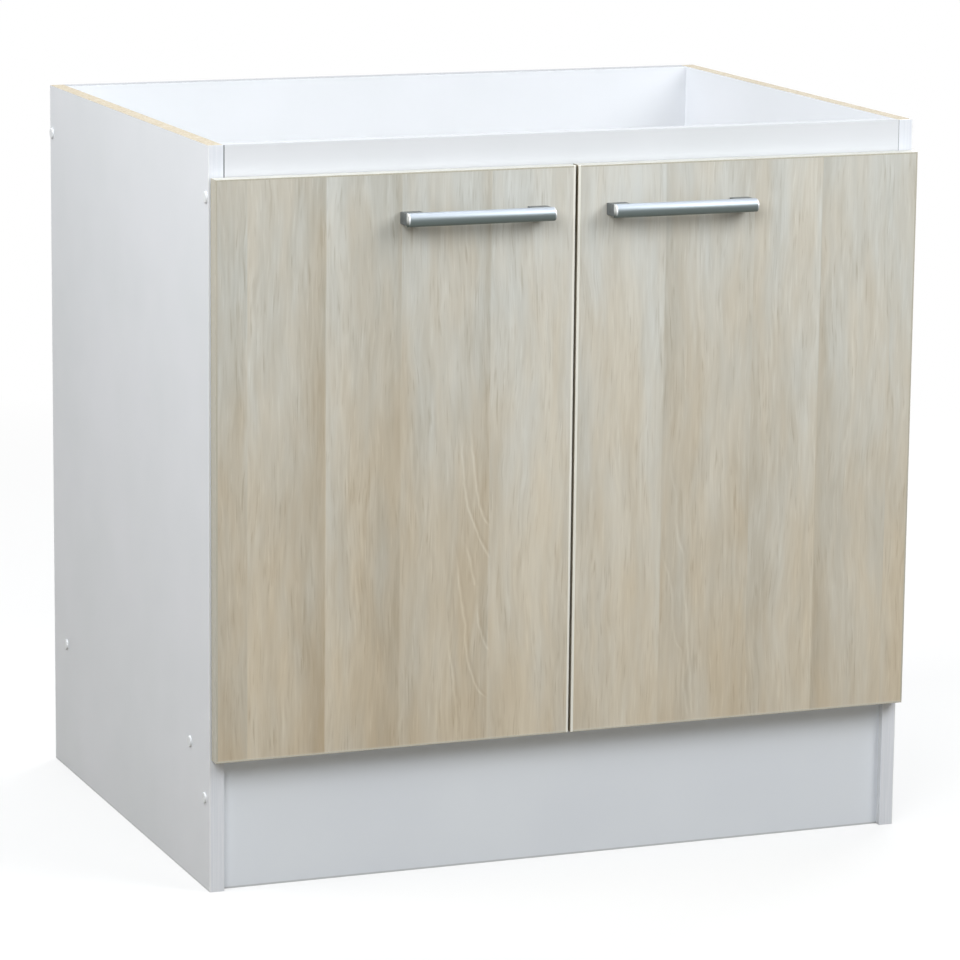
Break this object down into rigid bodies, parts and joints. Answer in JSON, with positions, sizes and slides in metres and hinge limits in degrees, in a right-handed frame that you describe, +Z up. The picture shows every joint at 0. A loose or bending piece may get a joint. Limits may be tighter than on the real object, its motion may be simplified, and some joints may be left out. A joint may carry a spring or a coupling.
{
  "type": "sink base cabinet",
  "caption": "Open-topped kitchen base cabinet for a sink, with two wood-grain doors on concealed hinges, bar handles and a recessed plinth.",
  "frame": {"origin": "on the floor, in the middle of the overall width and of the overall depth", "axes": "+X across the cabinet to the right as seen from the doors, +Y from the doors to the back, +Z up"},
  "size_m": [0.804, 0.628, 0.79],
  "materials": {
    "white_carcass_board": "matt white melamine-faced chipboard",
    "wood_grain_door_board": "matt melamine with a vertical light ash grain",
    "door_edge_band": "cream matt edge strip",
    "white_edge_band": "white matt edge strip",
    "white_plastic": "white moulded plastic",
    "beech": "fluted beech dowel, modelled plain",
    "anodised_aluminium": "satin anodised",
    "grey_handle_feet": "satin grey paint",
    "clear_rubber": "soft translucent",
    "zinc_steel": "zinc plated",
    "nickel_steel": "nickel plated"
  },
  "bodies": {
    "cabinet": {"bottom_panel": "white_carcass_board", "bottom_panel_edge_band": "white_edge_band", "connecting_screws": "zinc_steel", "dowels": "beech", "front_top_rail": "white_carcass_board", "hinge_plate_screws": "zinc_steel", "left_lower_hinge_arm": "nickel_steel", "left_lower_hinge_arm_pins": "nickel_steel", "left_lower_hinge_mounting_plate": "nickel_steel", "left_screw_cover_caps": "white_plastic", "left_side_edge_band": "white_edge_band", "left_side_panel": "white_carcass_board", "left_upper_hinge_arm": "nickel_steel", "left_upper_hinge_arm_pins": "nickel_steel", "left_upper_hinge_mounting_plate": "nickel_steel", "plinth_board": "white_carcass_board", "rear_top_rail": "white_carcass_board", "right_lower_hinge_arm": "nickel_steel", "right_lower_hinge_arm_pins": "nickel_steel", "right_lower_hinge_mounting_plate": "nickel_steel", "right_screw_cover_caps": "white_plastic", "right_side_edge_band": "white_edge_band", "right_side_panel": "white_carcass_board", "right_upper_hinge_arm": "nickel_steel", "right_upper_hinge_arm_pins": "nickel_steel", "right_upper_hinge_mounting_plate": "nickel_steel"},
    "left_door": {"left_door_bumpers": "clear_rubber", "left_door_edge_band": "door_edge_band", "left_door_panel": "wood_grain_door_board", "left_handle_bar": "anodised_aluminium", "left_handle_feet": "grey_handle_feet", "left_handle_screws": "zinc_steel", "left_hinge_cup_screws": "zinc_steel", "left_lower_hinge_cup": "nickel_steel", "left_lower_hinge_cup_pins": "nickel_steel", "left_upper_hinge_cup": "nickel_steel", "left_upper_hinge_cup_pins": "nickel_steel"},
    "left_upper_outer_link": {"left_upper_hinge_outer_link": "nickel_steel"},
    "left_upper_inner_link": {"left_upper_hinge_inner_link": "nickel_steel"},
    "left_lower_outer_link": {"left_lower_hinge_outer_link": "nickel_steel"},
    "left_lower_inner_link": {"left_lower_hinge_inner_link": "nickel_steel"},
    "right_door": {"right_door_bumpers": "clear_rubber", "right_door_edge_band": "door_edge_band", "right_door_panel": "wood_grain_door_board", "right_handle_bar": "anodised_aluminium", "right_handle_feet": "grey_handle_feet", "right_handle_screws": "zinc_steel", "right_hinge_cup_screws": "zinc_steel", "right_lower_hinge_cup": "nickel_steel", "right_lower_hinge_cup_pins": "nickel_steel", "right_upper_hinge_cup": "nickel_steel", "right_upper_hinge_cup_pins": "nickel_steel"},
    "right_upper_outer_link": {"right_upper_hinge_outer_link": "nickel_steel"},
    "right_upper_inner_link": {"right_upper_hinge_inner_link": "nickel_steel"},
    "right_lower_outer_link": {"right_lower_hinge_outer_link": "nickel_steel"},
    "right_lower_inner_link": {"right_lower_hinge_inner_link": "nickel_steel"}
  },
  "joints": [
    {"name": "left_upper_outer_link_on_arm", "type": "hinge", "parent": "cabinet", "child": "left_upper_outer_link", "pos_m": [-0.3742, -0.2723, 0.647], "axis": [0, 0, -1], "range_deg": [-32.45, 0]},
    {"name": "left_door_on_link", "type": "hinge", "parent": "left_upper_outer_link", "child": "left_door", "pos_m": [-0.39, -0.2731, 0.647], "axis": [0, 0, -1], "range_deg": [0, 124.45]},
    {"name": "left_upper_inner_link_on_arm", "type": "hinge", "parent": "cabinet", "child": "left_upper_inner_link", "pos_m": [-0.3658, -0.2786, 0.647], "axis": [0, 0, -1], "range_deg": [-40.05, 0]},
    {"name": "left_lower_outer_link_on_arm", "type": "hinge", "parent": "cabinet", "child": "left_lower_outer_link", "pos_m": [-0.3742, -0.2723, 0.254], "axis": [0, 0, -1], "range_deg": [-32.45, 0]},
    {"name": "left_lower_inner_link_on_arm", "type": "hinge", "parent": "cabinet", "child": "left_lower_inner_link", "pos_m": [-0.3658, -0.2786, 0.254], "axis": [0, 0, -1], "range_deg": [-40.05, 0]},
    {"name": "right_upper_outer_link_on_arm", "type": "hinge", "parent": "cabinet", "child": "right_upper_outer_link", "pos_m": [0.3742, -0.2723, 0.647], "axis": [0, 0, 1], "range_deg": [-32.45, 0]},
    {"name": "right_door_on_link", "type": "hinge", "parent": "right_upper_outer_link", "child": "right_door", "pos_m": [0.39, -0.2731, 0.647], "axis": [0, 0, 1], "range_deg": [0, 124.45]},
    {"name": "right_upper_inner_link_on_arm", "type": "hinge", "parent": "cabinet", "child": "right_upper_inner_link", "pos_m": [0.3658, -0.2786, 0.647], "axis": [0, 0, 1], "range_deg": [-40.05, 0]},
    {"name": "right_lower_outer_link_on_arm", "type": "hinge", "parent": "cabinet", "child": "right_lower_outer_link", "pos_m": [0.3742, -0.2723, 0.254], "axis": [0, 0, 1], "range_deg": [-32.45, 0]},
    {"name": "right_lower_inner_link_on_arm", "type": "hinge", "parent": "cabinet", "child": "right_lower_inner_link", "pos_m": [0.3658, -0.2786, 0.254], "axis": [0, 0, 1], "range_deg": [-40.05, 0]}
  ],
  "couplings": [
    {"joint": "left_upper_outer_link_on_arm", "follows": "left_door_on_link", "ratio": -0.23664},
    {"joint": "left_upper_inner_link_on_arm", "follows": "left_door_on_link", "ratio": -0.29771},
    {"joint": "left_lower_outer_link_on_arm", "follows": "left_door_on_link", "ratio": -0.23664},
    {"joint": "left_lower_inner_link_on_arm", "follows": "left_door_on_link", "ratio": -0.29771},
    {"joint": "right_upper_outer_link_on_arm", "follows": "right_door_on_link", "ratio": -0.23664},
    {"joint": "right_upper_inner_link_on_arm", "follows": "right_door_on_link", "ratio": -0.29771},
    {"joint": "right_lower_outer_link_on_arm", "follows": "right_door_on_link", "ratio": -0.23664},
    {"joint": "right_lower_inner_link_on_arm", "follows": "right_door_on_link", "ratio": -0.29771}
  ]
}
